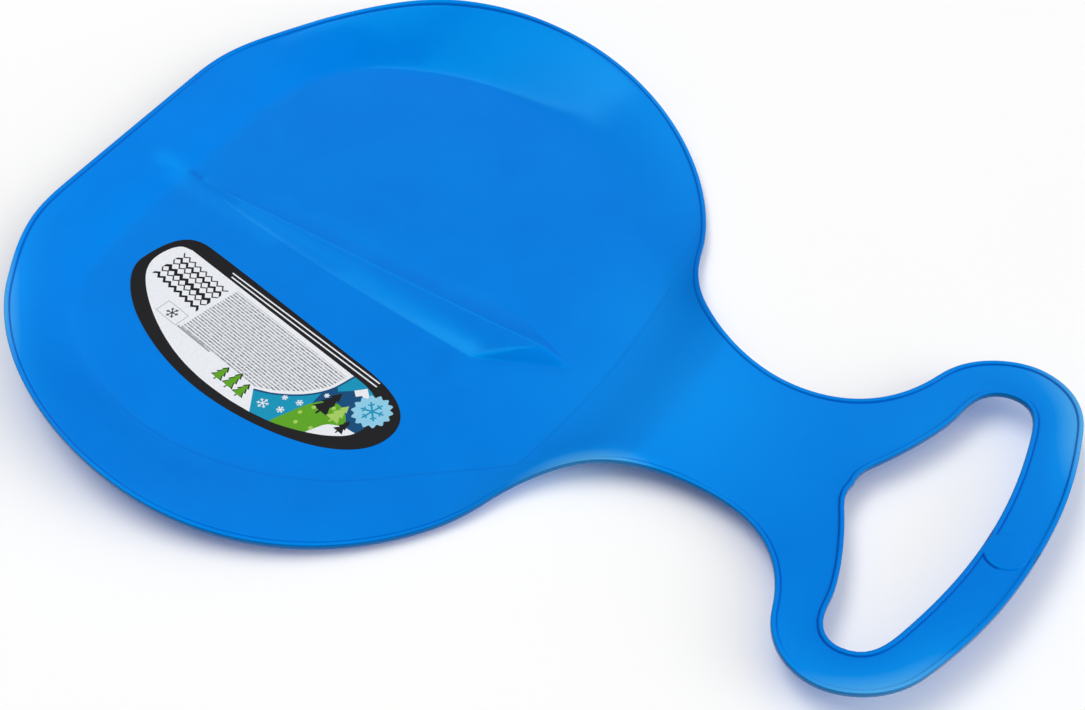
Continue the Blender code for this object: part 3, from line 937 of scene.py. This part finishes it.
def fir(ink, foot, height, width):
    """Region of a plain fir tree of three tiers."""
    half = width / 2
    right = [(x * half, y * height) for x, y in FIR_SIDE]
    left = [(-x, y) for x, y in right[-2::-1]]
    return ink, laid(right + left, foot, PRINT_HEADING)


def teal_edge():
    """The hollow curve between the white and the teal part."""
    return rounded(TEAL_EDGE, closed=False)


def white_field():
    """The white part of the label: straight along the seat's ridge, round along its edge."""
    round_side = rounded(WHITE_EDGE, closed=False)
    end = rounded(WHITE_END, closed=False, count=2)
    return np.vstack((round_side, end, teal_edge()))


def teal_field():
    """The teal part, at the front end of the label."""
    return np.vstack((teal_edge()[:-1], rounded(TEAL_FRONT, closed=False)))


def zigzags():
    """A block of woven-looking zigzag rows."""
    regions = []
    across = np.linspace(-ZIGZAG_HALF_LENGTH, ZIGZAG_HALF_LENGTH, ZIGZAG_CORNERS)
    teeth = np.arange(ZIGZAG_CORNERS) % 2 * ZIGZAG_DEPTH - ZIGZAG_DEPTH / 2
    for row, (height, weight) in enumerate(ZIGZAG_ROWS):
        middle = (-teeth if row % 2 else teeth) + height
        upper = np.column_stack((across, middle + weight / 2))
        lower = np.column_stack((across, middle - weight / 2))
        outline = np.vstack((upper, lower[::-1]))
        regions.append(("black", laid(outline, ZIGZAG_CENTRE, ZIGZAG_TURN)))
    return regions


def border_lines():
    """Two white lines along the label's straight side."""
    regions = []
    for offset in (0, BORDER_LINE_STEP):
        line = [(x, y - offset) for x, y in BORDER_LINE]
        line[0] = (line[0][0] + offset / 2, line[0][1])
        regions.append(("white", stroke(line, BORDER_LINE_WIDTH)))
    return regions


def framed_snowflake():
    """A snowflake in a thin grey frame."""
    frame_line = rounded(FRAME_CORNERS, count=3)
    inner = frame_line * FRAME_INNER_SHARE
    regions = [
        ("grey", laid(frame_line, FRAME_CENTRE, PRINT_HEADING)),
        ("white", laid(inner, FRAME_CENTRE, PRINT_HEADING)),
    ]
    return regions + snowflake("black", FRAME_CENTRE, *FRAME_FLAKE)


def grey_bars():
    """Two thin grey bars beside the rules."""
    regions = []
    for start, end, depth in GREY_BARS:
        flat = [(x, depth * -2) for x in (start, (start + end) / 2, end)]
        regions.append(("grey", stroke(laid(flat, BAR_PLACE, PRINT_HEADING), depth)))
    return regions


def fir_row():
    """Three green fir trees with a black edge."""
    regions = []
    for place, height in FIR_ROW:
        foot = laid([(place, 0)], FIR_ROW_PLACE, PRINT_HEADING)[0]
        edge_foot = foot + (0, -FIR_EDGE_DROP)
        regions.append(fir("black", edge_foot, height + FIR_EDGE_RISE, FIR_EDGE_WIDTH))
        regions.append(fir("green", foot, height, FIR_WIDTH))
    return regions


def landscape():
    """Hills, fir trees, dots and snowflakes for the teal field."""
    regions = []
    for ink, is_round, corners in HILLS:
        regions.append((ink, rounded(corners) if is_round else np.array(corners, float)))
    for tree in HILL_FIRS:
        regions.append(fir(*tree))
    for centre in HILL_DOTS:
        regions.append(("lime", circle(centre, HILL_DOT_RADIUS, HILL_DOT_SIDES)))
    for x, y, radius in HILL_FLAKES:
        regions += snowflake("white", (x, y), radius, HILL_FLAKE_LINE, x)
    return regions


def badge():
    """A scalloped round badge with a snowflake."""
    turns = np.linspace(0, math.tau, BADGE_SIDES, False)
    radii = [BADGE_RADIUS + BADGE_SCALLOP_DEPTH * math.cos(BADGE_SCALLOPS * turn)
             for turn in turns]
    rim = np.column_stack((np.cos(turns), np.sin(turns))) * np.array(radii)[:, None]
    return [("sky", rim + BADGE_CENTRE)] + snowflake("teal", BADGE_CENTRE, *BADGE_FLAKE)


def print_regions():
    """Every region of the print in painting order: ink, outline, and what it is kept inside."""
    teal = teal_field()
    plain = [("white", white_field()), ("teal", teal), ("rules", np.array(RULES_FIELD))]
    plain += zigzags() + border_lines() + framed_snowflake() + grey_bars() + fir_row()
    plain.append(("deep", stroke(teal_edge(), TEAL_EDGE_LINE)))
    regions = [(*region, None) for region in plain]
    regions += [(*region, teal) for region in landscape()]
    return regions + [(*region, None) for region in badge()]


def make_label():
    """The stuck-on film with its print: flat regions of ink in one mesh."""
    outline = curve_through(label_keys(), LABEL_STEP)[:-1]
    regions = print_regions()
    lines = [outline] + [region[1] for region in regions]
    points, faces = triangulate(lines, np.empty((0, 2)), closed=True)
    centres = points[faces].mean(axis=1)
    inked = np.zeros(len(faces), int)
    for ink, polygon, limit in regions:
        covered = within(centres, polygon)
        if limit is not None:
            covered &= within(centres, limit)
        inked[covered] = list(INKS).index(ink)
    kept = within(centres, outline)
    inked = inked[kept]
    points, faces = without_loose(points, faces[kept])
    upper = np.full(len(points), LABEL_TOP)
    lower = np.full(len(points), LABEL_LOW)
    label = make_sheet("label_visual", points, faces, upper, lower, smooth=False)
    for ink, (colour, roughness) in INKS.items():
        label.data.materials.append(ink_on_film(ink, colour, roughness))
    slots = np.zeros(len(label.data.polygons), int)
    slots[:len(inked)] = inked
    label.data.polygons.foreach_set("material_index", slots)
    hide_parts("label")
    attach(label, "root")


def add_node(tree, kind, settings, inputs):
    """A new node with its settings, and its inputs given as values or as other nodes' outputs."""
    node = tree.nodes.new(kind)
    for name, value in settings.items():
        setattr(node, name, value)
    for name, value in inputs.items():
        if isinstance(value, bpy.types.NodeSocket):
            tree.links.new(value, node.inputs[name])
        else:
            node.inputs[name].default_value = value
    return node


def new_material(name):
    """An empty material with its node tree, its surface shader and the object's coordinates."""
    material = bpy.data.materials.new(name)
    material.use_nodes = True
    tree = material.node_tree
    surface = tree.nodes["Principled BSDF"]
    place = tree.nodes.new("ShaderNodeTexCoord").outputs["Object"]
    return material, tree, surface, place


def noise(tree, place, scale, detail, roughness=0.5):
    """Value of a noise pattern, from 0 to 1."""
    inputs = {"Vector": place, "Scale": scale, "Detail": detail, "Roughness": roughness}
    return add_node(tree, "ShaderNodeTexNoise", {}, inputs).outputs["Fac"]


def ranged(tree, value, low, high, new_low, new_high):
    """A value moved from one range to another, and held inside it."""
    inputs = {"Value": value, "From Min": low, "From Max": high,
              "To Min": new_low, "To Max": new_high}
    return add_node(tree, "ShaderNodeMapRange", {"clamp": True}, inputs).outputs[0]


def computed(tree, operation, first, second):
    """The result of one step of arithmetic on two values."""
    node = add_node(tree, "ShaderNodeMath", {"operation": operation}, {0: first, 1: second})
    return node.outputs[0]


def blended(tree, share, first, second):
    """A colour between two others."""
    mix = add_node(tree, "ShaderNodeMix", {"data_type": "RGBA"}, {0: share, 6: first, 7: second})
    return mix.outputs[2]


def bumped(tree, height, strength, distance, below=None):
    """A surface normal that follows a height, over another one if there is one."""
    inputs = {"Height": height, "Strength": strength, "Distance": distance}
    if below is not None:
        inputs["Normal"] = below
    return add_node(tree, "ShaderNodeBump", {}, inputs).outputs[0]


def blue_plastic():
    """Half clear blue plastic: cloudy in its depth, lightly waved, with fine rub marks, and
    painted light and painted shade laid over its colour.
    """
    material, tree, surface, place = new_material("blue_plastic_moulded")
    cloud = ranged(tree, noise(tree, place, *PLASTIC_CLOUD), *NOISE_RANGE, 0, 1)
    colour = blended(tree, cloud, BLUE_DEEP, BLUE_LIGHT)
    # Painted light and painted shade from the masks, laid over the plastic's own colour
    for name, low, high, share, tint in TONES:
        reader = add_node(tree, "ShaderNodeAttribute", {"attribute_name": name}, {})
        strength = ranged(tree, reader.outputs["Fac"], low, high, 0, share)
        colour = blended(tree, strength, colour, tint)
    tree.links.new(colour, surface.inputs["Base Color"])
    rub = ranged(tree, noise(tree, place, *PLASTIC_RUB), *RUB_RANGE, *PLASTIC_ROUGHNESS)
    tree.links.new(rub, surface.inputs["Roughness"])
    waves = bumped(tree, noise(tree, place, *PLASTIC_WAVES), *PLASTIC_WAVE_BUMP)
    grain = bumped(tree, noise(tree, place, *PLASTIC_GRAIN), *PLASTIC_GRAIN_BUMP, waves)
    tree.links.new(grain, surface.inputs["Normal"])
    surface.inputs["IOR"].default_value = PLASTIC_IOR
    surface.inputs["Specular IOR Level"].default_value = PLASTIC_SPECULAR
    surface.inputs["Specular Tint"].default_value = BLUE_GLOSS
    return material


def with_rules(tree, place, paper):
    """The paper's colour with thin grey lines over it, worn in places."""
    turned = add_node(tree, "ShaderNodeMapping", {},
                      {"Vector": place, "Rotation": (0, 0, math.radians(-PRINT_HEADING))})
    across = add_node(tree, "ShaderNodeSeparateXYZ", {}, {0: turned.outputs[0]}).outputs["Y"]
    count = computed(tree, "DIVIDE", across, RULE_PITCH * MM)
    phase = computed(tree, "PINGPONG", count, 0.5)
    line = ranged(tree, phase, *RULE_EDGE, 0, 1)
    worn = ranged(tree, noise(tree, place, *RULE_WEAR), *RULE_WEAR_RANGE, RULE_FAINTEST, 1)
    return blended(tree, computed(tree, "MULTIPLY", line, worn), paper, RULE_GREY)


def ink_on_film(name, colour, roughness):
    """Printed film: its ink with a fine grain, and for the rules also their thin grey lines."""
    material, tree, surface, place = new_material("label_" + name)
    grain = noise(tree, place, *INK_GRAIN)
    dark = tuple(part * INK_DARKEST for part in colour)
    printed = blended(tree, ranged(tree, grain, *GRAIN_RANGE, 0, 1), (*dark, 1), (*colour, 1))
    if name == "rules":
        printed = with_rules(tree, place, printed)
    tree.links.new(printed, surface.inputs["Base Color"])
    smoothest = roughness - FILM_ROUGHNESS_SPREAD
    roughest = roughness + FILM_ROUGHNESS_SPREAD
    rub = ranged(tree, grain, *NOISE_RANGE, smoothest, roughest)
    tree.links.new(rub, surface.inputs["Roughness"])
    waves = bumped(tree, noise(tree, place, *FILM_WAVES), *FILM_WAVE_BUMP)
    tree.links.new(waves, surface.inputs["Normal"])
    surface.inputs["Specular IOR Level"].default_value = FILM_SPECULAR
    return material


def ground_material():
    """Pale matt ground with a faint unevenness."""
    material, tree, surface, place = new_material("ground_matt")
    tone = ranged(tree, noise(tree, place, *GROUND_CLOUD), *NOISE_RANGE, 0, 1)
    tree.links.new(blended(tree, tone, GROUND_DARK, GROUND_LIGHT), surface.inputs["Base Color"])
    surface.inputs["Roughness"].default_value = GROUND_ROUGHNESS
    surface.inputs["Specular IOR Level"].default_value = GROUND_SPECULAR
    return material


def make_floor():
    """The pale ground that the slider lies on."""
    corners = [(-1, -1), (1, -1), (1, 1), (-1, 1)]
    mesh = bpy.data.meshes.new("ground")
    mesh.from_pydata([(x * GROUND_REACH, y * GROUND_REACH, 0) for x, y in corners],
                     [], [(0, 1, 2, 3)])
    ground = bpy.data.objects.new("ground", mesh)
    bpy.context.scene.collection.objects.link(ground)
    mesh.materials.append(ground_material())
    ground.location.z = -GROUND_DROP


def make_camera():
    """The camera, at the photograph's place and angle."""
    lens = bpy.data.cameras.new("camera")
    lens.sensor_fit = "HORIZONTAL"
    lens.sensor_width = CAMERA_SENSOR
    lens.lens = CAMERA_LENS
    lens.clip_start = CAMERA_CLIP_START
    camera = bpy.data.objects.new("camera", lens)
    bpy.context.scene.collection.objects.link(camera)
    camera.location = CAMERA_PLACE
    camera.rotation_euler = (math.radians(90 - CAMERA_ELEVATION), 0, math.radians(CAMERA_TURN))
    bpy.context.scene.camera = camera


def upward(heading, elevation):
    """Direction with a heading in plan and an elevation above it, in degrees."""
    turn = math.radians(heading)
    rise = math.radians(elevation)
    flat = math.cos(rise)
    return Vector((math.cos(turn) * flat, math.sin(turn) * flat, math.sin(rise)))


def make_sky():
    """A pale sky, brightest overhead and beyond the handle's side."""
    world = bpy.data.worlds.new("studio")
    world.use_nodes = True
    tree = world.node_tree
    direction = tree.nodes.new("ShaderNodeTexCoord").outputs["Generated"]
    height = add_node(tree, "ShaderNodeSeparateXYZ", {}, {0: direction}).outputs["Z"]
    steep = computed(tree, "POWER", ranged(tree, height, 0, 1, 0, 1), SKY_POWER)
    rising = ranged(tree, steep, 0, 1, SKY_LOW, SKY_HIGH)
    side = upward(SIDE_HEADING, SIDE_ELEVATION)
    towards = add_node(tree, "ShaderNodeVectorMath", {"operation": "DOT_PRODUCT"},
                       {0: direction, 1: side}).outputs["Value"]
    tilt = ranged(tree, towards, -1, 1, 1 - SKY_TILT, 1 + SKY_TILT)
    tilted = computed(tree, "MULTIPLY", rising, tilt)
    narrow = computed(tree, "POWER", ranged(tree, towards, 0, 1, 0, 1), SIDE_POWER)
    sky = computed(tree, "ADD", tilted, computed(tree, "MULTIPLY", narrow, SIDE_LEVEL))
    seen = tree.nodes.new("ShaderNodeLightPath").outputs["Is Camera Ray"]
    level = add_node(tree, "ShaderNodeMix", {}, {0: seen, 2: sky, 3: BACKGROUND}).outputs[0]
    tree.links.new(level, tree.nodes["Background"].inputs["Strength"])
    tree.nodes["Background"].inputs["Color"].default_value = (1, 1, 1, 1)
    bpy.context.scene.world = world


def make_lamp():
    """The wide soft lamp at the back."""
    lamp = bpy.data.lights.new("soft_light", "AREA")
    lamp.shape = "RECTANGLE"
    lamp.size = KEY_LENGTH
    lamp.size_y = KEY_WIDTH
    lamp.energy = KEY_LEVEL * math.pi * KEY_LENGTH * KEY_WIDTH
    key = bpy.data.objects.new("soft_light", lamp)
    bpy.context.scene.collection.objects.link(key)
    towards_key = upward(KEY_HEADING, KEY_ELEVATION)
    key.location = towards_key * KEY_DISTANCE
    key.rotation_euler = towards_key.to_track_quat("Z", "Y").to_euler()


def main():
    """The whole scene, with the view layer updated before and after it."""
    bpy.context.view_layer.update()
    make_body()
    make_label()
    make_floor()
    make_camera()
    make_sky()
    make_lamp()
    bpy.context.scene.view_settings.view_transform = "Standard"
    bpy.context.view_layer.update()


main()
